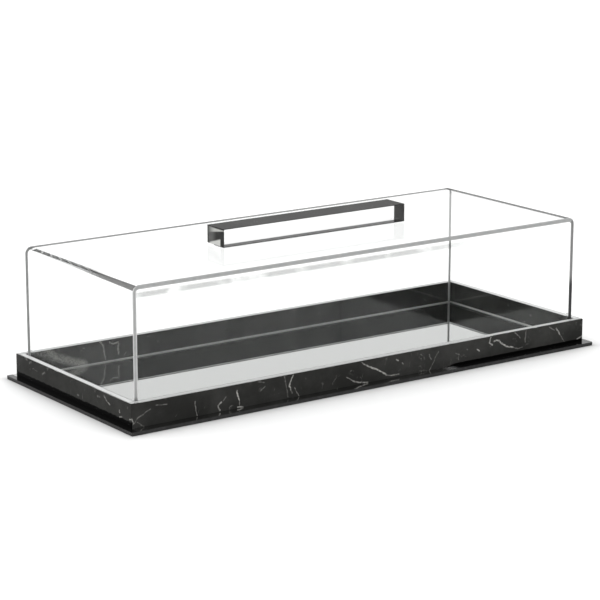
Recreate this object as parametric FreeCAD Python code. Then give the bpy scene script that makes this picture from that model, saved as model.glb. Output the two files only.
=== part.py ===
import FreeCAD, Part
import os

# A covered loaf-cake stand. A low tray of clear strips stands on a thin mirror plate, and a clear
# box-shaped cover with a bar handle drops inside the tray walls. Millimetres, +Z up, +X along the
# length, +Y to the rear, with the origin at the centre of the plate's underside.

# Driving dimensions
PLATE_LENGTH = 400.0
PLATE_WIDTH = 169.0
PLATE_THICKNESS = 2.5
PLATE_CORNER_RADIUS = 0.8

TRAY_LENGTH = 392.0
TRAY_WIDTH = 155.0
WALL_HEIGHT = 17.0
WALL_THICKNESS = 4.5

LAMINATE_THICKNESS = 0.4
LAMINATE_END_INSET = 0.3
LAMINATE_TOP_INSET = 0.3

# Solvent cement softens the faces it joins, so each glued pair runs this far into each other
CEMENT_DEPTH = 0.05

COVER_LENGTH = 380.0
COVER_WIDTH = 142.0
COVER_TOP = 96.0
COVER_THICKNESS = 3.0
COVER_BEND_RADIUS = 5.0
COVER_FLOOR_GAP = 0.1

HANDLE_LENGTH = 158.0
HANDLE_WIDTH = 20.5
HANDLE_HEIGHT = 13.0
HANDLE_BASE_WIDTH = 12.0

# Derived heights and half sizes
WALL_FOOT = PLATE_THICKNESS - CEMENT_DEPTH
WALL_TOP = PLATE_THICKNESS + WALL_HEIGHT
COVER_FOOT = PLATE_THICKNESS + COVER_FLOOR_GAP
CLEAR_HALF_LENGTH = TRAY_LENGTH / 2 - LAMINATE_THICKNESS
CLEAR_HALF_WIDTH = TRAY_WIDTH / 2 - LAMINATE_THICKNESS
INNER_HALF_WIDTH = CLEAR_HALF_WIDTH - WALL_THICKNESS
LAMINATE_TOP = WALL_TOP - LAMINATE_TOP_INSET
SHEET_THICKNESS = LAMINATE_THICKNESS + CEMENT_DEPTH
HANDLE_TOP = COVER_TOP + HANDLE_HEIGHT
HANDLE_BLOCK_FOOT = COVER_TOP + LAMINATE_THICKNESS - CEMENT_DEPTH
HANDLE_BLOCK_TOP = HANDLE_TOP - LAMINATE_THICKNESS + CEMENT_DEPTH
HANDLE_BLOCK_LENGTH = HANDLE_LENGTH - 2 * LAMINATE_THICKNESS


def block(size_x, size_y, centre_x, centre_y, foot_z, top_z):
    """A box centred on (centre_x, centre_y), from foot_z up to top_z."""
    corner = FreeCAD.Vector(centre_x - size_x / 2, centre_y - size_y / 2, foot_z)
    return Part.makeBox(size_x, size_y, top_z - foot_z, corner)


def vertical_edges(solid):
    """The edges of a box that run straight up."""
    return [edge for edge in solid.Edges if abs(edge.tangentAt(edge.FirstParameter).z) > 0.99]


def base_plate():
    plate = block(PLATE_LENGTH, PLATE_WIDTH, 0, 0, 0, PLATE_THICKNESS)
    return plate.makeFillet(PLATE_CORNER_RADIUS, vertical_edges(plate))


def long_wall(side):
    """The front (side -1) or rear (side +1) strip. It runs past the ends of the two short strips."""
    centre_y = side * (CLEAR_HALF_WIDTH - WALL_THICKNESS / 2)
    return block(2 * CLEAR_HALF_LENGTH, WALL_THICKNESS, 0, centre_y, WALL_FOOT, WALL_TOP)


def short_wall(side):
    """The left (side -1) or right (side +1) strip, cemented between the two long ones."""
    centre_x = side * (CLEAR_HALF_LENGTH - WALL_THICKNESS / 2)
    length = 2 * (INNER_HALF_WIDTH + CEMENT_DEPTH)
    return block(WALL_THICKNESS, length, centre_x, 0, WALL_FOOT, WALL_TOP)


def long_wall_laminate(side):
    """The sheet on the outer face of a long strip. It covers the edges of the end sheets."""
    centre_y = side * (TRAY_WIDTH - SHEET_THICKNESS) / 2
    length = TRAY_LENGTH - 2 * LAMINATE_END_INSET
    return block(length, SHEET_THICKNESS, 0, centre_y, PLATE_THICKNESS, LAMINATE_TOP)


def short_wall_laminate(side):
    """The sheet on the outer face of a short strip. It also covers the cut ends of the long ones."""
    centre_x = side * (TRAY_LENGTH - SHEET_THICKNESS) / 2
    width = TRAY_WIDTH - 2 * SHEET_THICKNESS
    return block(SHEET_THICKNESS, width, centre_x, 0, PLATE_THICKNESS, LAMINATE_TOP)


def bent_outline(half_length, top, radius, foot):
    """The cover's outline seen from the front: upright ends and a top, with round bends between."""
    shoulder = top - radius
    straight = half_length - radius
    rise = radius * 0.5 ** 0.5
    left_foot = FreeCAD.Vector(-half_length, 0, foot)
    left_shoulder = FreeCAD.Vector(-half_length, 0, shoulder)
    left_bend = FreeCAD.Vector(-straight - rise, 0, shoulder + rise)
    left_top = FreeCAD.Vector(-straight, 0, top)
    right_top = FreeCAD.Vector(straight, 0, top)
    right_bend = FreeCAD.Vector(straight + rise, 0, shoulder + rise)
    right_shoulder = FreeCAD.Vector(half_length, 0, shoulder)
    right_foot = FreeCAD.Vector(half_length, 0, foot)
    edges = [
        Part.LineSegment(left_foot, left_shoulder).toShape(),
        Part.Arc(left_shoulder, left_bend, left_top).toShape(),
        Part.LineSegment(left_top, right_top).toShape(),
        Part.Arc(right_top, right_bend, right_shoulder).toShape(),
        Part.LineSegment(right_shoulder, right_foot).toShape(),
        Part.LineSegment(right_foot, left_foot).toShape(),
    ]
    return Part.Wire(edges)


def outline_prism(wire, thickness, start_y):
    """The solid that an outline sweeps from start_y towards the rear."""
    prism = Part.Face(wire).extrude(FreeCAD.Vector(0, thickness, 0))
    prism.translate(FreeCAD.Vector(0, start_y, 0))
    return prism


def inner_outline(cement):
    """The outline of the space inside the bent sheet, made larger by the cement all round."""
    inset = COVER_THICKNESS - cement
    half_length = COVER_LENGTH / 2 - inset
    return bent_outline(half_length, COVER_TOP - inset, COVER_BEND_RADIUS - inset, COVER_FOOT)


def cover_shell():
    """One bent sheet over the cover's whole width: left end, top and right end."""
    outer = bent_outline(COVER_LENGTH / 2, COVER_TOP, COVER_BEND_RADIUS, COVER_FOOT)
    body = outline_prism(outer, COVER_WIDTH, -COVER_WIDTH / 2)
    hollow = outline_prism(inner_outline(0), COVER_WIDTH, -COVER_WIDTH / 2)
    return body.cut(hollow)


def cover_panel(side):
    """The flat front (side -1) or rear (side +1) panel, let in flush with the bent sheet's edges."""
    start_y = side * (COVER_WIDTH - COVER_THICKNESS) / 2 - COVER_THICKNESS / 2
    return outline_prism(inner_outline(CEMENT_DEPTH), COVER_THICKNESS, start_y)


def handle_block():
    length = HANDLE_BLOCK_LENGTH + 2 * CEMENT_DEPTH
    return block(length, HANDLE_WIDTH, 0, 0, HANDLE_BLOCK_FOOT, HANDLE_BLOCK_TOP)


def handle_top_laminate():
    """The sheet on top of the bar. It also covers the upper edges of the end sheets."""
    foot_z = HANDLE_TOP - LAMINATE_THICKNESS
    return block(HANDLE_LENGTH, HANDLE_WIDTH, 0, 0, foot_z, HANDLE_TOP)


def handle_base_laminate():
    """The narrower strip under the bar, flush with its front face, that joins it to the cover."""
    centre_y = -(HANDLE_WIDTH - HANDLE_BASE_WIDTH) / 2
    foot_z = COVER_TOP - CEMENT_DEPTH
    top_z = COVER_TOP + LAMINATE_THICKNESS
    return block(HANDLE_LENGTH, HANDLE_BASE_WIDTH, 0, centre_y, foot_z, top_z)


def handle_end_laminate(side):
    """The sheet on the left (side -1) or right (side +1) end of the bar."""
    centre_x = side * (HANDLE_BLOCK_LENGTH + LAMINATE_THICKNESS) / 2
    foot_z = COVER_TOP + LAMINATE_THICKNESS
    top_z = HANDLE_TOP - LAMINATE_THICKNESS
    return block(LAMINATE_THICKNESS, HANDLE_WIDTH, centre_x, 0, foot_z, top_z)


NODES = {
    "base_plate": base_plate(),
    "front_wall": long_wall(-1),
    "rear_wall": long_wall(1),
    "left_wall": short_wall(-1),
    "right_wall": short_wall(1),
    "front_wall_laminate": long_wall_laminate(-1),
    "rear_wall_laminate": long_wall_laminate(1),
    "left_wall_laminate": short_wall_laminate(-1),
    "right_wall_laminate": short_wall_laminate(1),
    "cover_shell": cover_shell(),
    "cover_front_panel": cover_panel(-1),
    "cover_rear_panel": cover_panel(1),
    "handle_block": handle_block(),
    "handle_top_laminate": handle_top_laminate(),
    "handle_base_laminate": handle_base_laminate(),
    "handle_left_laminate": handle_end_laminate(-1),
    "handle_right_laminate": handle_end_laminate(1),
}

os.makedirs("parts", exist_ok=True)
for name, shape in NODES.items():
    if not shape.isValid() or len(shape.Solids) != 1:
        raise RuntimeError(name + " is not one valid solid")
    shape.exportStep("parts/" + name + ".step")
    print(name, round(shape.Volume / 1000, 2), "cm3")
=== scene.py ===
import math

import bpy
from mathutils import Matrix, Vector


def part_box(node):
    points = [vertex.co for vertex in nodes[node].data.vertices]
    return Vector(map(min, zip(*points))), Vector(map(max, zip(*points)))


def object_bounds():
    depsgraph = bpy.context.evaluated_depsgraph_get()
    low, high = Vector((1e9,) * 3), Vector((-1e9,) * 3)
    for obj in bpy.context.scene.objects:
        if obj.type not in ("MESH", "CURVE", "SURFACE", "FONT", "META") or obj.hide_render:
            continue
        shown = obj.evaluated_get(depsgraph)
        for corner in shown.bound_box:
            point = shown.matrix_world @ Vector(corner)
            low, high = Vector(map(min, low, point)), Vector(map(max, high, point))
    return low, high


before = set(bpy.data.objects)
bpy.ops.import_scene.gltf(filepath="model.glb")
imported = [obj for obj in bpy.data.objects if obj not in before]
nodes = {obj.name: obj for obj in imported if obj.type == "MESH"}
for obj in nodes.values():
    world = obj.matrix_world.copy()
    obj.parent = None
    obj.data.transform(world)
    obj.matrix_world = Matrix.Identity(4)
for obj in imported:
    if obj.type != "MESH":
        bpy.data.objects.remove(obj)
cad_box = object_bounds()

# A clear box-shaped cover on a low tray of black marble laminate. The frame's own pieces carry all the
# shapes, and this script gives them their materials, a pale table, soft light and a camera. Lengths are
# in metres and angles in radians, except where a name or a comment says otherwise. A constant with two
# numbers holds the ends of a smooth step.

# The camera, in metres and degrees. Azimuth 0 looks along +Y, and positive turns towards -X.
VIEW_AZIMUTH = -35.46
VIEW_ELEVATION = 13.72
VIEW_ROLL = 0.07
VIEW_DISTANCE = 1.6366
VIEW_AIM_OFFSET = Vector((-0.01067, -0.00517, -0.00615))
LENS_MM = 137.49
SENSOR_MM = 36.0

# The table's size, and how far and how deeply it darkens beside the plate
FLOOR_SIZE = 24.0
SHADE_REACH = 0.0055
SHADE_DEPTH = 0.37

# The indexes of refraction. The low ones keep the cover's and the laminates' reflections faint.
ACRYLIC_IOR = 1.49
SHEET_IOR = 1.1
OUTER_IOR = 1.1
INNER_IOR = 1.38
HANDLE_IOR = 1.06

# Faces of the cover and of the tray's clear strips
COVER_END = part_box("cover_shell")[1][0]
COVER_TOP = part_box("cover_shell")[1][2]
TRAY_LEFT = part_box("left_wall")[0][0]
TRAY_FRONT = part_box("front_wall")[0][1]

# The height of the plate's top, on which the walls stand, half the thickness of the cover's sheet, and
# the outer radius of its bends
WALL_FOOT = 0.0025
SHEET_HALF = 0.0015
BEND_RADIUS = 0.005

# Colours that more than one material uses
CLEAR_TINT = (0.985, 0.99, 0.987)
WHITE = (0.9, 0.9, 0.9)

# Veins drawn on the wall faces. Each group has its strength, its half width and its lines.
# A line's points are millimetres along the face from left to right, and above the table.
LONG_VEINS = (
    (1.0, 0.85, (
        ((-113.6, 14.6), (-113, 11), (-111.8, 8.2)),
        ((-112.8, 3.4), (-109.2, 2.9)),
        ((-70.2, 14), (-71, 11), (-70, 8.6)),
        ((-1.6, 13.4), (4, 10.8), (8, 8.6), (12, 5.8)),
        ((94, 11.4), (96.2, 10.2)),
        ((109.6, 15), (112.4, 15.8), (115, 14.6), (117.2, 12.6), (122, 9.4), (128, 8)),
    )),
    (0.7, 0.75, (
        ((-196.2, 9.5), (-194.8, 6.5)),
        ((-126, 9.3), (-129.2, 7), (-127.6, 3.6)),
        ((-67.4, 18.6), (-70.2, 14)),
        ((-17, 6), (-13, 4.4), (-4, 2.8)),
        ((-9.6, 18.2), (-8, 16.6), (-1.6, 13.4)),
        ((12, 5.8), (16, 4.6), (23.4, 4.6)),
        ((20.4, 15.2), (22.6, 14.6)),
        ((107, 18.4), (105.4, 14.6), (108.4, 12.4)),
        ((169.8, 16), (173.6, 10.6)),
        ((190.6, 4.6), (195, 6.2)),
    )),
    (0.42, 0.55, (
        ((-147, 13), (-145.8, 3.2)),
        ((-111.8, 8.2), (-111.4, 4.4)),
        ((-70, 8.6), (-68.6, 5.8)),
        ((-66.4, 9.4), (-65.4, 7), (-63, 3.2)),
        ((-22.4, 9.6), (-17, 6)),
        ((26.2, 12.2), (26.9, 11.2)),
        ((84.6, 13.2), (85.2, 12.6)),
        ((129.8, 18.6), (135, 14)),
        ((128, 8), (132.6, 6.2), (137, 6.6)),
    )),
    (0.28, 0.6, (
        ((-195, 5.5), (-191, 9.5), (-182, 13.8)),
        ((-192, 6.5), (-187, 3)),
        ((-177, 15.6), (-169, 15)),
        ((-124.4, 9.8), (-122.6, 12)),
        ((-96.5, 18.4), (-91.5, 17)),
        ((-95, 11.6), (-91, 14.2)),
        ((-75, 18.6), (-72, 3.8)),
        ((50.2, 14.4), (51.8, 10.6)),
        ((58.4, 15.4), (54.6, 9.4), (50.6, 3)),
        ((74.6, 11.6), (77.4, 10.4), (77, 6.4)),
        ((140.6, 18.4), (139.6, 10)),
        ((163, 18), (168, 15)),
        ((173.6, 10.6), (178, 4.4)),
    )),
)
SHORT_VEINS = (
    (0.5, 0.75, (
        ((43, 17), (45.4, 14.6), (50.4, 12.4)),
        ((62.6, 11.6), (62.7, 10.2)),
        ((62.4, 7), (65.6, 8.2)),
        ((75, 8.4), (77, 8.8)),
    )),
    (0.22, 1.1, (
        ((-63.6, 18.6), (-61.4, 18.2)),
        ((-58, 16.8), (-55.6, 18)),
        ((-40, 12.6), (-36.4, 14.8)),
        ((8, 9.2), (9.4, 9.6)),
        ((34, 14.6), (37.4, 15)),
    )),
)
INNER_VEINS = (
    (0.7, 4.4, (
        ((-172, 19), (-165.4, 13), (-158, 9.6), (-142, 4)),
    )),
    (0.4, 4.6, (
        ((-184, 20), (-174, 17), (-166, 12)),
    )),
    (0.65, 0.9, (
        ((-128.6, 18), (-126, 15.4), (-124.2, 5)),
        ((-120.6, 16.6), (-117.4, 15), (-114, 16)),
        ((-113.6, 16), (-113.2, 7)),
    )),
)


# Shader building blocks

def node(tree, kind, **settings):
    """A shader node with its properties set."""
    made = tree.nodes.new(kind)
    for name, value in settings.items():
        setattr(made, name, value)
    return made


def link(tree, source, target):
    """Joins an output to an input."""
    tree.links.new(source, target)


def math_node(tree, operation, first, second=None, third=None, clamp=False):
    """The result of a math node. Each term is a number or another node's output."""
    made = node(tree, "ShaderNodeMath", operation=operation, use_clamp=clamp)
    for socket, term in zip(made.inputs, (first, second, third)):
        if term is None:
            continue
        if isinstance(term, (int, float)):
            socket.default_value = term
        else:
            link(tree, term, socket)
    return made.outputs[0]


def product(tree, first, *others):
    """All the terms multiplied together."""
    for other in others:
        first = math_node(tree, "MULTIPLY", first, other)
    return first


def smooth_step(tree, value, low, high):
    """0 below low, 1 above high, and a smooth rise between them."""
    made = node(tree, "ShaderNodeMapRange", interpolation_type="SMOOTHSTEP", clamp=False)
    link(tree, value, made.inputs["Value"])
    made.inputs["From Min"].default_value = low
    made.inputs["From Max"].default_value = high
    return made.outputs["Result"]


def smooth_fall(tree, value, low, high):
    """1 below low, 0 above high, and a smooth fall between them."""
    return math_node(tree, "SUBTRACT", 1.0, smooth_step(tree, value, low, high))


def object_point(tree):
    """The point in the row frame, in metres."""
    return node(tree, "ShaderNodeTexCoord").outputs["Object"]


def generated_point(tree):
    """On a piece, the point as shares of its own box, each from 0 to 1. In the world, a direction."""
    return node(tree, "ShaderNodeTexCoord").outputs["Generated"]


def coordinates(tree, point):
    """The x, y and z of a point or a direction."""
    parts = node(tree, "ShaderNodeSeparateXYZ")
    link(tree, point, parts.inputs[0])
    return parts.outputs


def noise(tree, point, scale, detail=4.0, roughness=0.5):
    """A noise texture. Its first output is a level about 0.5."""
    made = node(tree, "ShaderNodeTexNoise")
    link(tree, point, made.inputs["Vector"])
    made.inputs["Scale"].default_value = scale
    made.inputs["Detail"].default_value = detail
    made.inputs["Roughness"].default_value = roughness
    return made


def mixed_colour(tree, factor, first, second):
    """first where factor is 0, second where it is 1."""
    made = node(tree, "ShaderNodeMix", data_type="RGBA")
    link(tree, factor, made.inputs["Factor"])
    for socket, colour in ((made.inputs[6], first), (made.inputs[7], second)):
        if isinstance(colour, tuple):
            socket.default_value = (*colour, 1.0)
        else:
            link(tree, colour, socket)
    return made.outputs[2]


def mixed_shader(tree, factor, first, second):
    """The first shader where factor is 0, the second where it is 1."""
    made = node(tree, "ShaderNodeMixShader")
    for socket, source in zip(made.inputs, (factor, first, second)):
        link(tree, source, socket)
    return made.outputs[0]


def plain_shader(tree, kind, colour):
    """A transparent or diffuse shader of one colour."""
    made = node(tree, kind)
    made.inputs["Color"].default_value = (*colour, 1.0)
    return made.outputs[0]


def new_material(name):
    """A material without nodes but its output. Gives the material, its tree and its surface input."""
    material = bpy.data.materials.new(name)
    material.use_nodes = True
    material.node_tree.nodes.clear()
    output = node(material.node_tree, "ShaderNodeOutputMaterial")
    return material, material.node_tree, output.inputs["Surface"]


def glossy_shader(tree, surface, colour):
    """An opaque glossy shader on a material's surface. colour is a node's output."""
    shader = node(tree, "ShaderNodeBsdfPrincipled", name="main")
    link(tree, colour, shader.inputs["Base Color"])
    link(tree, shader.outputs[0], surface)
    return shader


def main_shader(material):
    """The Principled shader of a material made here."""
    return material.node_tree.nodes["main"]


def colour_source(shader):
    """The output that colours a shader."""
    return shader.inputs["Base Color"].links[0].from_socket


# Clear acrylic

# The tint of the light that passes a face where its shadow would fall, and the polish's most roughness
SHADOW_TINT = (0.97, 0.975, 0.972)
POLISH_HAZE = 0.02


def clear_acrylic(name, ior):
    """Clear acrylic that casts hardly any shadow, with a faintly uneven polish."""
    material, tree, surface = new_material(name)
    shader = node(tree, "ShaderNodeBsdfPrincipled", name="main")
    shader.inputs["Base Color"].default_value = (*CLEAR_TINT, 1.0)
    shader.inputs["Transmission Weight"].default_value = 1.0
    shader.inputs["IOR"].default_value = ior
    haze = noise(tree, object_point(tree), 90.0)
    link(tree, math_node(tree, "MULTIPLY", haze.outputs[0], POLISH_HAZE), shader.inputs["Roughness"])
    passed = plain_shader(tree, "ShaderNodeBsdfTransparent", SHADOW_TINT)
    shadow = node(tree, "ShaderNodeLightPath").outputs["Is Shadow Ray"]
    link(tree, mixed_shader(tree, shadow, shader.outputs[0], passed), surface)
    return material


# A grey band of painted shade under the top joint, where the shell's inner corner bends the light: its
# two edges below the cover's top, where it fades out to the right, and its patches
JOINT_SHADE_TOP = (0.0048, 0.0058)
JOINT_SHADE_FOOT = (0.0084, 0.0094)
JOINT_SHADE_FADE = (0.03, 0.13)
JOINT_SHADE_PATCHES = (0.2, 0.5)
JOINT_SHADE_GREY = (0.55, 0.555, 0.55)


def joint_shaded_acrylic():
    """The front panel: clear acrylic with a faint, patchy grey band of painted shade under the top joint.
    """
    material = clear_acrylic("clear_front_panel", SHEET_IOR)
    tree = material.node_tree
    x, _, z = coordinates(tree, object_point(tree))
    below_top = math_node(tree, "SUBTRACT", COVER_TOP, z)
    upper = smooth_step(tree, below_top, *JOINT_SHADE_TOP)
    lower = smooth_step(tree, below_top, *JOINT_SHADE_FOOT)
    strip = math_node(tree, "SUBTRACT", upper, lower)
    patches = smooth_step(tree, noise(tree, object_point(tree), 60.0).outputs[0], *JOINT_SHADE_PATCHES)
    # A patchy grey band painted as shade under the top joint
    joint_shade = product(tree, strip, smooth_fall(tree, x, *JOINT_SHADE_FADE), patches)
    shader = main_shader(material)
    link(tree, mixed_colour(tree, joint_shade, CLEAR_TINT, JOINT_SHADE_GREY), shader.inputs["Base Color"])
    return material


def past_bend_axis(tree, x, z):
    """How far a point lies outside a bend's axis and above it."""
    along = math_node(tree, "SUBTRACT", math_node(tree, "ABSOLUTE", x), COVER_END - BEND_RADIUS)
    up = math_node(tree, "SUBTRACT", z, COVER_TOP - BEND_RADIUS)
    return along, up


def diagonal(tree, first, second):
    """The length of the diagonal across two sides."""
    first = math_node(tree, "POWER", first, 2.0)
    second = math_node(tree, "POWER", second, 2.0)
    return math_node(tree, "SQRT", math_node(tree, "ADD", first, second))


# The grey band of painted shade along the bends, in place of the dark that their curve refracts: the
# angle of its middle and half its spread at the cover's centre, how much the one grows and the other
# shrinks per metre towards the rear, the softness of its edges, and where and how much it weakens
# towards the rear
BAND_ANGLE = 0.84
BAND_DRIFT = 1.6
BAND_SPREAD = 0.236
BAND_TAPER = 2.2
BAND_EDGE = (-0.1, 0.08)
BAND_REAR = (-0.045, 0.04)
BAND_REAR_LOSS = 0.45
BAND_TINT = (0.045, 0.045, 0.0443)
BEND_TINT = (0.975, 0.98, 0.977)

# The painted shade of the band's front half, a diffuse grey layer: where it fades out towards the rear,
# how much it covers and its grey. The painted white light on the sheet above the band, and the painted
# shade on the right-hand crest, start at these angles.
FRONT_SHADE_FADE = (-0.045, 0.01)
FRONT_SHADE_SHARE = 0.85
FRONT_SHADE_GREY = (0.19, 0.19, 0.188)
WHITE_START = (1.1, 1.2)
CREST_START = (0.9, 1.1)
CREST_TINT = (0.3, 0.3, 0.297)


def bend_band(tree, angle, y):
    """The band of painted shade along a bend: wide and low at the front, narrow and high at the rear, and
    uneven.
    """
    centre = math_node(tree, "MULTIPLY_ADD", y, BAND_DRIFT, BAND_ANGLE)
    spread = math_node(tree, "MULTIPLY_ADD", y, -BAND_TAPER, BAND_SPREAD)
    away = math_node(tree, "ABSOLUTE", math_node(tree, "SUBTRACT", angle, centre))
    band = smooth_fall(tree, math_node(tree, "SUBTRACT", away, spread), *BAND_EDGE)
    uneven = noise(tree, object_point(tree), 420.0)
    level = math_node(tree, "MULTIPLY_ADD", uneven.outputs[0], 0.5, 0.85)
    return math_node(tree, "MULTIPLY", band, level, clamp=True)


def bent_acrylic():
    """The heat-bent corners of the cover, with a grey band of painted shade where the bends refract dark.

    The band's front half is painted as a diffuse grey shade, and the sheet above that half as diffuse
    white, a painted light. Light through the right-hand bend's crest is dimmed, a painted shade."""
    material = clear_acrylic("bent_acrylic", SHEET_IOR)
    tree = material.node_tree
    x, y, z = coordinates(tree, object_point(tree))
    along, up = past_bend_axis(tree, x, z)
    angle = math_node(tree, "ARCTAN2", up, along)
    outside = math_node(tree, "GREATER_THAN", diagonal(tree, along, up), BEND_RADIUS - SHEET_HALF)
    leaving = node(tree, "ShaderNodeNewGeometry").outputs["Backfacing"]
    entering = math_node(tree, "SUBTRACT", outside, leaving, clamp=True)

    band = math_node(tree, "MULTIPLY", bend_band(tree, angle, y), entering)
    ahead = smooth_fall(tree, y, *FRONT_SHADE_FADE)
    front_shade = product(tree, band, ahead, FRONT_SHADE_SHARE)
    white = product(tree, smooth_step(tree, angle, *WHITE_START), entering, ahead)
    right = math_node(tree, "GREATER_THAN", x, 0.0)
    crest = product(tree, right, outside, smooth_step(tree, angle, *CREST_START))

    loss = product(tree, smooth_step(tree, y, *BAND_REAR), BAND_REAR_LOSS)
    tinted = math_node(tree, "MULTIPLY", band, math_node(tree, "SUBTRACT", 1.0, loss))
    shader = main_shader(material)
    link(tree, mixed_colour(tree, tinted, BEND_TINT, BAND_TINT), shader.inputs["Base Color"])

    shadow_mix = shader.outputs[0].links[0].to_node
    # Painted shade and light over the glass: the band's diffuse grey, the white above it and the dim crest
    layers = (
        (front_shade, plain_shader(tree, "ShaderNodeBsdfDiffuse", FRONT_SHADE_GREY)),
        (white, plain_shader(tree, "ShaderNodeBsdfDiffuse", WHITE)),
        (crest, plain_shader(tree, "ShaderNodeBsdfTransparent", CREST_TINT)),
    )
    covered = shader.outputs[0]
    for share, layer in layers:
        covered = mixed_shader(tree, share, covered, layer)
    link(tree, covered, shadow_mix.inputs[1])
    return material


# The grey line of painted shade on the cover's top: how far it reaches from the right-hand bend, and its
# soft edge
TOP_LINE = 0.0045
TOP_LINE_EDGE = (0.0, 0.0008)
TOP_LINE_TINT = (0.02, 0.02, 0.02)


def edged_sheet():
    """The flat parts of the bent sheet, with a grey line of painted shade on top where the right-hand bend
    begins.
    """
    material = clear_acrylic("clear_edged_sheet", SHEET_IOR)
    tree = material.node_tree
    x, _, z = coordinates(tree, object_point(tree))
    past = math_node(tree, "SUBTRACT", x, COVER_END - BEND_RADIUS - TOP_LINE)
    on_top = math_node(tree, "GREATER_THAN", z, COVER_TOP - SHEET_HALF)
    # A grey line painted as shade along the top
    line = product(tree, smooth_step(tree, past, *TOP_LINE_EDGE), on_top)
    uneven = noise(tree, object_point(tree), 260.0)
    level = math_node(tree, "MULTIPLY_ADD", uneven.outputs[0], 0.6, 0.82)
    line = math_node(tree, "MULTIPLY", line, level, clamp=True)
    shader = main_shader(material)
    link(tree, mixed_colour(tree, line, CLEAR_TINT, TOP_LINE_TINT), shader.inputs["Base Color"])
    return material


# Sawn edges

# How far from the middle of a rim the painted shade of its eased-looking corners starts, as a share of
# its width, and how pale its darkest streaks are, as a share of the rest
RIM_CORNER = (0.34, 0.46)
RIM_CORNER_SHADE = (0.1, 0.1, 0.1)
RIM_STREAK = 0.62


def wall_rim(name, axis, pale):
    """The sawn top edge of a strip: pale and streaky, with painted shade along its sides as if its corners
    were eased. axis crosses it.
    """
    material, tree, surface = new_material(name)
    across = coordinates(tree, generated_point(tree))[axis]
    off_centre = math_node(tree, "ABSOLUTE", math_node(tree, "SUBTRACT", across, 0.5))
    corner = smooth_step(tree, off_centre, *RIM_CORNER)
    streaks = noise(tree, object_point(tree), 900.0, 6.0)
    streak = tuple(RIM_STREAK * value for value in pale)
    colour = mixed_colour(tree, streaks.outputs[0], streak, pale)
    # Painted shade along the rim's sides
    colour = mixed_colour(tree, corner, colour, RIM_CORNER_SHADE)
    shader = glossy_shader(tree, surface, colour)
    shader.inputs["Roughness"].default_value = 0.3
    shader.inputs["IOR"].default_value = ACRYLIC_IOR
    return material


def sheet_section(tree, x, z):
    """How deep a point lies in the bent sheet, and whether it is on an upright leg."""
    along, up = past_bend_axis(tree, x, z)
    past_along = math_node(tree, "MAXIMUM", along, 0.0)
    past_up = math_node(tree, "MAXIMUM", up, 0.0)
    inside = math_node(tree, "MINIMUM", math_node(tree, "MAXIMUM", along, up), 0.0)
    reach = math_node(tree, "ADD", diagonal(tree, past_along, past_up), inside)
    depth = math_node(tree, "SUBTRACT", BEND_RADIUS, reach)
    upright = math_node(tree, "GREATER_THAN", along, up)
    return depth, upright


# Where the sawn edge turns pale, as a distance from the middle of its thickness, and the share of that
# which the top keeps. The right front leg is darker: wholly below a height, by a share above it.
SAWN_PALE = (0.0004, 0.0019)
SAWN_TOP_SHARE = 0.25
SAWN_DARK = (0.26, 0.265, 0.262)
SAWN_LIGHT = (0.46, 0.465, 0.462)
DARK_LEG_HEIGHT = (0.044, 0.054)
DARK_LEG_SHARE = 0.5
DARK_LEG_BLACK = (0.03, 0.03, 0.032)


def sawn_edge():
    """The cut edge of the bent sheet: grey in the middle of its thickness and pale at its faces."""
    material, tree, surface = new_material("sawn_edge")
    x, y, z = coordinates(tree, object_point(tree))
    depth, upright = sheet_section(tree, x, z)
    off_centre = math_node(tree, "ABSOLUTE", math_node(tree, "SUBTRACT", depth, SHEET_HALF))
    on_leg = math_node(tree, "MULTIPLY_ADD", upright, 1.0 - SAWN_TOP_SHARE, SAWN_TOP_SHARE)
    streaks = noise(tree, object_point(tree), 500.0, 5.0)
    grey = mixed_colour(tree, streaks.outputs[0], SAWN_DARK, SAWN_LIGHT)

    right = math_node(tree, "GREATER_THAN", x, 0.0)
    front = math_node(tree, "LESS_THAN", y, 0.0)
    low = smooth_fall(tree, z, *DARK_LEG_HEIGHT)
    level = math_node(tree, "MULTIPLY_ADD", low, 1.0 - DARK_LEG_SHARE, DARK_LEG_SHARE)
    # The right front leg's edge is darker
    darkened = product(tree, right, upright, front, level)
    grey = mixed_colour(tree, darkened, grey, DARK_LEG_BLACK)
    undarkened = math_node(tree, "SUBTRACT", 1.0, darkened)
    pale = product(tree, smooth_step(tree, off_centre, *SAWN_PALE), on_leg, undarkened)
    shader = glossy_shader(tree, surface, mixed_colour(tree, pale, grey, WHITE))
    shader.inputs["Roughness"].default_value = 0.4
    shader.inputs["IOR"].default_value = ACRYLIC_IOR
    return material


# Marble laminate

# The hairs' size as a noise scale, their half width as a noise level, and where they aren't broken
HAIR_SCALE = 70.0
HAIR_WIDTH = 0.012
HAIR_WHOLE = (0.56, 0.7)


def hair_lines(tree, point):
    """Fine wandering lines along the middle level of a noise, broken where another noise is low."""
    field = noise(tree, point, HAIR_SCALE, 5.0, 0.5)
    field.inputs["Distortion"].default_value = 0.9
    away = math_node(tree, "ABSOLUTE", math_node(tree, "SUBTRACT", field.outputs[0], 0.5))
    breaks = noise(tree, point, 2.3 * HAIR_SCALE, 3.0)
    whole = smooth_step(tree, breaks.outputs[0], *HAIR_WHOLE)
    return math_node(tree, "MULTIPLY", smooth_fall(tree, away, 0.0, HAIR_WIDTH), whole)


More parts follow.
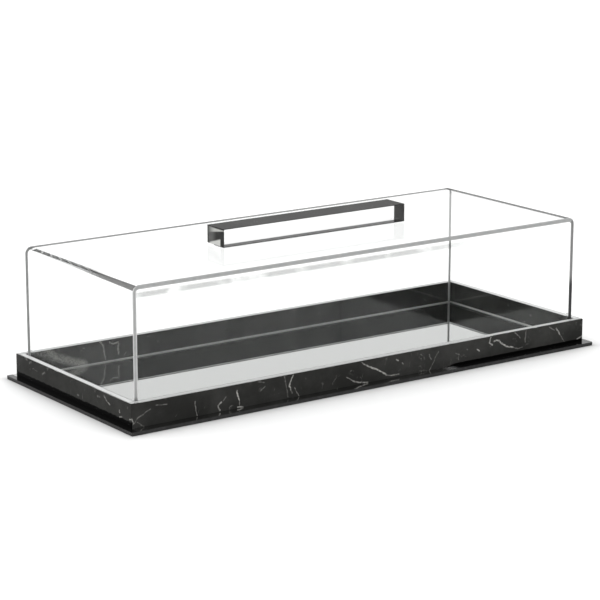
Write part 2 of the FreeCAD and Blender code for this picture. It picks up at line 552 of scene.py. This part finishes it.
def stroke_distance(tree, place, start, end):
    """The distance from a point to the straight piece between start and end."""
    start = Vector((*start, 0.0))
    run = Vector((*end, 0.0)) - start
    away = node(tree, "ShaderNodeVectorMath", operation="SUBTRACT")
    link(tree, place, away.inputs[0])
    away.inputs[1].default_value = start
    share = node(tree, "ShaderNodeVectorMath", operation="DOT_PRODUCT")
    link(tree, away.outputs[0], share.inputs[0])
    share.inputs[1].default_value = run / run.length_squared
    nearest = node(tree, "ShaderNodeVectorMath", operation="SCALE")
    nearest.inputs[0].default_value = run
    share = math_node(tree, "MINIMUM", math_node(tree, "MAXIMUM", share.outputs["Value"], 0.0), 1.0)
    link(tree, share, nearest.inputs["Scale"])
    gap = node(tree, "ShaderNodeVectorMath", operation="DISTANCE")
    link(tree, away.outputs[0], gap.inputs[0])
    link(tree, nearest.outputs[0], gap.inputs[1])
    return gap.outputs["Value"]


# The range, in millimetres along a face and up it, in which the veins wander about their drawn lines
WANDER = Vector((2.4, 1.2, 0.0))


def wandering_place(tree, along, height):
    """The place on a face in millimetres, moved a little to and fro so that straight strokes waver."""
    wobble = noise(tree, object_point(tree), 320.0, 3.0)
    shift = node(tree, "ShaderNodeVectorMath", operation="MULTIPLY_ADD")
    link(tree, wobble.outputs["Color"], shift.inputs[0])
    shift.inputs[1].default_value = WANDER
    shift.inputs[2].default_value = -0.5 * WANDER
    place = node(tree, "ShaderNodeCombineXYZ")
    link(tree, math_node(tree, "MULTIPLY", along, 1000.0), place.inputs[0])
    link(tree, math_node(tree, "MULTIPLY", height, 1000.0), place.inputs[1])
    moved = node(tree, "ShaderNodeVectorMath", operation="ADD")
    link(tree, place.outputs[0], moved.inputs[0])
    link(tree, shift.outputs[0], moved.inputs[1])
    return moved.outputs[0]


def drawn_veins(tree, place, veins):
    """The strength at a place of the veins drawn on a face."""
    total = 0.0
    for strength, width, lines in veins:
        nearest = 1000.0
        for start, end in [piece for points in lines for piece in zip(points, points[1:])]:
            nearest = math_node(tree, "MINIMUM", nearest, stroke_distance(tree, place, start, end))
        stroke = smooth_fall(tree, nearest, 0.1 * width, width)
        total = math_node(tree, "MAXIMUM", total, math_node(tree, "MULTIPLY", stroke, strength))
    return total


# The levels of the grain between which a drawn vein goes from worn to whole, and the levels of the
# clouds between which the ground grows paler by CLOUD_GAIN. Veins are a little warmer than white.
GRAIN = (0.36, 0.6)
CLOUDY = (0.35, 0.75)
CLOUD_GAIN = 2.2
VEIN_TINT = (1.0, 0.99, 0.94)


def marble_laminate(name, ior, ground, along=None, veins=(), hair=0.3, pale=0.46):
    """Near-black marble with soft grey clouds, fine broken hairs and the drawn veins.

    along is the direction in which the veins' first coordinate runs. hair is the hairs' strength, and
    pale is how pale a vein is at full strength."""
    material, tree, surface = new_material(name)
    point = object_point(tree)
    lines = math_node(tree, "MULTIPLY", hair_lines(tree, point), hair)
    if veins:
        reach = node(tree, "ShaderNodeVectorMath", operation="DOT_PRODUCT")
        link(tree, point, reach.inputs[0])
        reach.inputs[1].default_value = along
        height = coordinates(tree, point)[2]
        drawn = drawn_veins(tree, wandering_place(tree, reach.outputs["Value"], height), veins)
        whole = smooth_step(tree, noise(tree, point, 700.0, 3.0).outputs[0], *GRAIN)
        drawn = math_node(tree, "MULTIPLY", drawn, math_node(tree, "MULTIPLY_ADD", whole, 0.7, 0.35))
        lines = math_node(tree, "MAXIMUM", lines, drawn)
    clouds = smooth_step(tree, noise(tree, point, 16.0, 7.0, 0.65).outputs[0], *CLOUDY)
    cloud = tuple(CLOUD_GAIN * value for value in ground)
    colour = mixed_colour(tree, clouds, ground, cloud)
    colour = mixed_colour(tree, lines, colour, tuple(pale * value for value in VEIN_TINT))
    shader = glossy_shader(tree, surface, colour)
    shader.inputs["Roughness"].default_value = 0.12
    shader.inputs["IOR"].default_value = ior
    return material


# The black foot of the walls, a painted shade for the dark reflection and shadow at their foot: its
# height on the left end, its height on the right-hand stretch of the long walls, where that stretch
# begins, and its soft upper edge
LEFT_FOOT = 0.0045
RIGHT_FOOT = 0.0019
RIGHT_FOOT_START = (0.064, 0.076)
FOOT_EDGE = (-0.0003, 0.0004)
FOOT_SHADE_BLACK = (0.001, 0.001, 0.001)


def outer_marble(name, along, veins):
    """A wall's outer face, with the black foot of painted shade."""
    material = marble_laminate(name, OUTER_IOR, (0.024, 0.024, 0.0228), along, veins)
    tree = material.node_tree
    shader = main_shader(material)
    colour = colour_source(shader)
    x, _, z = coordinates(tree, object_point(tree))
    left = math_node(tree, "LESS_THAN", x, TRAY_LEFT)
    top = product(tree, smooth_step(tree, x, *RIGHT_FOOT_START), RIGHT_FOOT)
    top = math_node(tree, "MULTIPLY_ADD", left, LEFT_FOOT, top)
    rough = noise(tree, object_point(tree), 250.0, 3.0)
    top = product(tree, top, math_node(tree, "MULTIPLY_ADD", rough.outputs[0], 0.4, 0.8))
    over = math_node(tree, "SUBTRACT", math_node(tree, "SUBTRACT", z, WALL_FOOT), top)
    # The foot painted black as shade
    black = smooth_fall(tree, over, *FOOT_EDGE)
    link(tree, mixed_colour(tree, black, colour, FOOT_SHADE_BLACK), shader.inputs["Base Color"])
    return material


# The height of the pale line along the walls' inner foot: the cemented joint, with a painted highlight
CEMENT_GLINT_HEIGHT = 0.0008
CEMENT_GLINT_WHITE = (0.85, 0.85, 0.83)


def inner_marble():
    """The walls' inner faces, with a pale line along the foot: the cemented joint with a painted highlight.
    """
    # The inner faces' ground is painted paler than the outer faces', a painted light
    ground = (0.038, 0.038, 0.036)
    material = marble_laminate("wall_marble_inside", INNER_IOR, ground, (1, 0, 0), INNER_VEINS, pale=0.85)
    tree = material.node_tree
    shader = main_shader(material)
    colour = colour_source(shader)
    height = coordinates(tree, object_point(tree))[2]
    # A highlight painted along the cemented foot
    low = math_node(tree, "LESS_THAN", height, WALL_FOOT + CEMENT_GLINT_HEIGHT)
    link(tree, mixed_colour(tree, low, colour, CEMENT_GLINT_WHITE), shader.inputs["Base Color"])
    return material


# The pale shapes of painted light on the bar's end, where the clear block would throw light through
# the sheet, as shares of its depth from the rear and of its height: a patch at the rear, a wedge that
# runs up to the front along the top, and a strip that rises along the foot
PATCH_START = (0.03, 0.1)
PATCH_END = (0.2, 0.6)
PATCH_GREY = (0.14, 0.14, 0.137)
WEDGE_SLOPE = 0.3
WEDGE_FOOT = 0.58
WEDGE_EDGE = (0.0, 0.07)
WEDGE_TOP = (0.92, 0.98)
WEDGE_START = (0.0, 0.5)
WEDGE_PALE = (0.52, 0.525, 0.5)
STRIP_SLOPE = 0.5
STRIP_EDGE = (-0.06, 0.05)
STRIP_START = (0.08, 0.22)
STRIP_END = (0.76, 0.82)
STRIP_PALE = (0.66, 0.665, 0.64)


def handle_end():
    """The end of the bar, with pale shapes of painted light where the clear block would shine through the
    sheet.
    """
    material = marble_laminate("handle_end", HANDLE_IOR, (0.04, 0.04, 0.039), hair=0.1)
    tree = material.node_tree
    shader = main_shader(material)
    colour = colour_source(shader)
    _, y, height = coordinates(tree, generated_point(tree))
    forward = math_node(tree, "SUBTRACT", 1.0, y)

    # Pale shapes painted as light
    started = smooth_step(tree, forward, *PATCH_START)
    patch = product(tree, started, smooth_fall(tree, forward, *PATCH_END))
    colour = mixed_colour(tree, patch, colour, PATCH_GREY)

    slope = math_node(tree, "MULTIPLY_ADD", forward, WEDGE_SLOPE, WEDGE_FOOT)
    over = smooth_step(tree, math_node(tree, "SUBTRACT", height, slope), *WEDGE_EDGE)
    started = smooth_step(tree, forward, *WEDGE_START)
    wedge = product(tree, over, smooth_fall(tree, height, *WEDGE_TOP), started)
    colour = mixed_colour(tree, wedge, colour, WEDGE_PALE)

    slope = math_node(tree, "MULTIPLY", forward, STRIP_SLOPE)
    under = smooth_fall(tree, math_node(tree, "SUBTRACT", height, slope), *STRIP_EDGE)
    started = smooth_step(tree, forward, *STRIP_START)
    strip = product(tree, under, started, smooth_fall(tree, forward, *STRIP_END))
    link(tree, mixed_colour(tree, strip, colour, STRIP_PALE), shader.inputs["Base Color"])
    return material


# The plate

# Where the black border, a painted dark reflection on the mirror, begins beside the long walls
BORDER_START = (0.06, 0.075)
BORDER_REFLECTION_BLACK = (0.004, 0.004, 0.004)
SILVER = (0.57, 0.575, 0.57)


def plate_mirror():
    """The silvered top of the base plate. Its border is painted black, a dark reflection, at both ends and
    at the sides' right.
    """
    material, tree, surface = new_material("plate_mirror")
    point = object_point(tree)
    x, y, _ = coordinates(tree, point)
    left = math_node(tree, "LESS_THAN", x, TRAY_LEFT)
    beside = math_node(tree, "GREATER_THAN", math_node(tree, "ABSOLUTE", y), -TRAY_FRONT)
    right = product(tree, beside, smooth_step(tree, x, *BORDER_START))
    end = math_node(tree, "GREATER_THAN", x, -TRAY_LEFT)
    painted = math_node(tree, "MAXIMUM", left, math_node(tree, "MAXIMUM", right, end))
    # The border is painted black in place of the dark reflection on the mirror
    shader = glossy_shader(tree, surface, mixed_colour(tree, painted, SILVER, BORDER_REFLECTION_BLACK))
    link(tree, math_node(tree, "SUBTRACT", 1.0, painted), shader.inputs["Metallic"])
    smears = noise(tree, point, 40.0)
    link(tree, math_node(tree, "MULTIPLY", smears.outputs[0], 0.04), shader.inputs["Roughness"])
    return material


def plate_edge():
    """The dark polished edge and painted back of the base plate."""
    material, tree, surface = new_material("plate_dark_edge")
    mottle = noise(tree, object_point(tree), 300.0)
    colour = mixed_colour(tree, mottle.outputs[0], (0.02, 0.02, 0.02), (0.045, 0.045, 0.045))
    shader = glossy_shader(tree, surface, colour)
    shader.inputs["Roughness"].default_value = 0.25
    return material


# Which material each piece wears

def dress(name, materials, chooser=None):
    """Gives a CAD node its materials. chooser picks one by index from a face's normal and centre."""
    mesh = nodes[name].data
    mesh.materials.clear()
    for material in materials:
        mesh.materials.append(material)
    for face in mesh.polygons:
        face.material_index = chooser(face) if chooser else 0


def faces_up(face):
    """1 for the faces on top of a piece, 0 for the rest."""
    return 1 if face.normal.z > 0.9 else 0


def faces_inward(face):
    """1 for the upright faces that look towards the object's middle, 0 for the rest."""
    upright = abs(face.normal.z) < 0.1
    return 1 if upright and face.normal.dot(face.center) < 0 else 0


def cover_faces(face):
    """0 for the flat faces of the bent sheet, 1 for its sawn edges and 2 for its bends."""
    if abs(face.normal.y) > 0.9:
        return 1
    return 0 if max(abs(face.normal.x), abs(face.normal.z)) > 0.9999 else 2


BLOCK = clear_acrylic("clear_block", ACRYLIC_IOR)
INNER_MARBLE = inner_marble()
# The two rims are lit and shaded copies of the same sawn acrylic: the long walls' rim is painted darker, as
# shade
LONG_WALL = (
    outer_marble("long_wall_marble", (1, 0, 0), LONG_VEINS),
    wall_rim("long_wall_rim", 1, (0.52, 0.525, 0.52)),
)
SHORT_WALL = (
    outer_marble("short_wall_marble", (0, -1, 0), SHORT_VEINS),
    wall_rim("short_wall_rim", 0, (0.74, 0.745, 0.74)),
)
WALL_LOOKS = {"front": LONG_WALL, "rear": LONG_WALL, "left": SHORT_WALL, "right": SHORT_WALL}
HANDLE_END = handle_end()
HANDLE_TOP = marble_laminate("handle_marble", HANDLE_IOR, (0.019, 0.019, 0.018), hair=0.2)
HANDLE_BASE = marble_laminate("handle_base_marble", HANDLE_IOR, (0.008, 0.008, 0.008), hair=0.1)
# The inside of the bar's ends is painted far paler than its other laminate, a painted light
HANDLE_INNER = marble_laminate("handle_marble_inside", HANDLE_IOR, (0.15, 0.15, 0.147), hair=0.1)

dress("base_plate", (plate_edge(), plate_mirror()), faces_up)
for side, (marble, rim) in WALL_LOOKS.items():
    dress(side + "_wall", (BLOCK, rim), faces_up)
    dress(side + "_wall_laminate", (marble, INNER_MARBLE), faces_inward)
dress("cover_shell", (edged_sheet(), sawn_edge(), bent_acrylic()), cover_faces)
dress("cover_front_panel", (joint_shaded_acrylic(),))
dress("cover_rear_panel", (clear_acrylic("clear_sheet", SHEET_IOR),))
dress("handle_block", (BLOCK,))
dress("handle_top_laminate", (HANDLE_TOP,))
dress("handle_base_laminate", (HANDLE_BASE,))
for side in ("left", "right"):
    dress("handle_" + side + "_laminate", (HANDLE_END, HANDLE_INNER), faces_inward)


# The studio

def reflected(tree):
    """1 for light that a glossy face has mirrored on its way to the camera, otherwise 0."""
    mirrored = node(tree, "ShaderNodeLightPath").outputs["Glossy Depth"]
    return math_node(tree, "GREATER_THAN", mirrored, 0.5)


def contact_shade(tree):
    """How much the table darkens close to the plate, over a few millimetres."""
    x, y, _ = coordinates(tree, object_point(tree))
    outside = []
    for value, edge in ((x, cad_box[1][0]), (y, cad_box[1][1])):
        past = math_node(tree, "SUBTRACT", math_node(tree, "ABSOLUTE", value), edge)
        outside.append(math_node(tree, "MAXIMUM", past, 0.0))
    distance = diagonal(tree, *outside)
    fading = math_node(tree, "EXPONENT", math_node(tree, "DIVIDE", distance, -SHADE_REACH))
    return math_node(tree, "MULTIPLY", fading, SHADE_DEPTH)


def floor():
    """The pale table under the stand. It is darker in reflections, and beside the plate."""
    half = FLOOR_SIZE / 2
    mesh = bpy.data.meshes.new("floor")
    corners = [(-half, -half, 0), (half, -half, 0), (half, half, 0), (-half, half, 0)]
    mesh.from_pydata(corners, [], [(0, 1, 2, 3)])
    made = bpy.data.objects.new("floor", mesh)
    bpy.context.scene.collection.objects.link(made)
    material, tree, surface = new_material("pale_floor")
    shader = node(tree, "ShaderNodeBsdfDiffuse")
    colour = mixed_colour(tree, reflected(tree), (0.94, 0.94, 0.94), (0.42, 0.42, 0.42))
    colour = mixed_colour(tree, contact_shade(tree), colour, (0.0, 0.0, 0.0))
    link(tree, colour, shader.inputs["Color"])
    link(tree, shader.outputs[0], surface)
    mesh.materials.append(material)


# The room as glossy and clear faces see it. Two bright walls stand before and behind, across
# VIEW_WAY. They start at these cosines and end at these heights, as the bright horizon does. The
# overhead light starts at its own heights. A height is the z of a direction.
VIEW_WAY = (0.574, 0.819, 0.0)
WALL_START = (0.1, 0.3)
WALL_HEIGHT = (0.4, 0.55)
HORIZON_HEIGHT = (0.08, 0.14)
OVERHEAD_START = (0.72, 0.85)
ROOM_LEVEL = 0.3
BRIGHT_LEVEL = 0.7

# The light that falls on the object: its level from the sides and above, and how much more of it
# comes from straight behind, or less from straight in front
LIGHT_LEVEL = 1.34
LIGHT_SLOPE = 0.65


def seen_room(tree, direction):
    """The studio in reflections: a bright wall before and behind, and a bright light overhead."""
    up = coordinates(tree, direction)[2]
    facing = node(tree, "ShaderNodeVectorMath", operation="DOT_PRODUCT")
    link(tree, direction, facing.inputs[0])
    facing.inputs[1].default_value = VIEW_WAY
    level = math_node(tree, "ABSOLUTE", facing.outputs["Value"])
    wall = product(tree, smooth_step(tree, level, *WALL_START), smooth_fall(tree, up, *WALL_HEIGHT))
    wall = math_node(tree, "MAXIMUM", wall, smooth_fall(tree, up, *HORIZON_HEIGHT))
    seen = math_node(tree, "MULTIPLY_ADD", wall, BRIGHT_LEVEL, ROOM_LEVEL)
    overhead = smooth_step(tree, up, *OVERHEAD_START)
    return math_node(tree, "MULTIPLY_ADD", overhead, BRIGHT_LEVEL, seen)


def studio_light():
    """Soft light from all round, stronger from the rear. Glossy and clear faces see the room's own
    pattern instead."""
    world = bpy.data.worlds.new("studio")
    bpy.context.scene.world = world
    world.use_nodes = True
    tree = world.node_tree
    tree.nodes.clear()
    direction = generated_point(tree)
    path = node(tree, "ShaderNodeLightPath")
    bounced = math_node(tree, "MAXIMUM", path.outputs["Is Glossy Ray"], path.outputs["Is Transmission Ray"])
    rearward = coordinates(tree, direction)[1]
    strength = node(tree, "ShaderNodeMix", data_type="FLOAT")
    link(tree, bounced, strength.inputs[0])
    link(tree, math_node(tree, "MULTIPLY_ADD", rearward, LIGHT_SLOPE, LIGHT_LEVEL), strength.inputs[2])
    link(tree, seen_room(tree, direction), strength.inputs[3])
    background = node(tree, "ShaderNodeBackground")
    background.inputs["Color"].default_value = (1.0, 1.0, 1.0, 1.0)
    link(tree, strength.outputs[0], background.inputs["Strength"])
    output = node(tree, "ShaderNodeOutputWorld")
    link(tree, background.outputs[0], output.inputs["Surface"])


def camera():
    """A long lens, from the front and a little to the left, just above the stand."""
    data = bpy.data.cameras.new("camera")
    data.lens = LENS_MM
    data.sensor_width = SENSOR_MM
    data.clip_start = 0.05
    data.clip_end = 100.0
    made = bpy.data.objects.new("camera", data)
    bpy.context.scene.collection.objects.link(made)
    low, high = cad_box
    aim = (low + high) / 2 + VIEW_AIM_OFFSET
    azimuth = math.radians(VIEW_AZIMUTH)
    elevation = math.radians(VIEW_ELEVATION)
    back = Vector((
        math.sin(azimuth) * math.cos(elevation),
        -math.cos(azimuth) * math.cos(elevation),
        math.sin(elevation),
    ))
    turn = (-back).to_track_quat("-Z", "Y").to_matrix().to_4x4()
    roll = Matrix.Rotation(math.radians(VIEW_ROLL), 4, "Z")
    made.matrix_world = Matrix.Translation(aim + back * VIEW_DISTANCE) @ turn @ roll
    bpy.context.scene.camera = made


floor()
studio_light()
camera()

# Light crosses many clear faces before it gets through the cover
scene = bpy.context.scene
scene.view_settings.view_transform = "Standard"
scene.cycles.max_bounces = 32
scene.cycles.transmission_bounces = 28
scene.cycles.glossy_bounces = 12
scene.cycles.transparent_max_bounces = 32
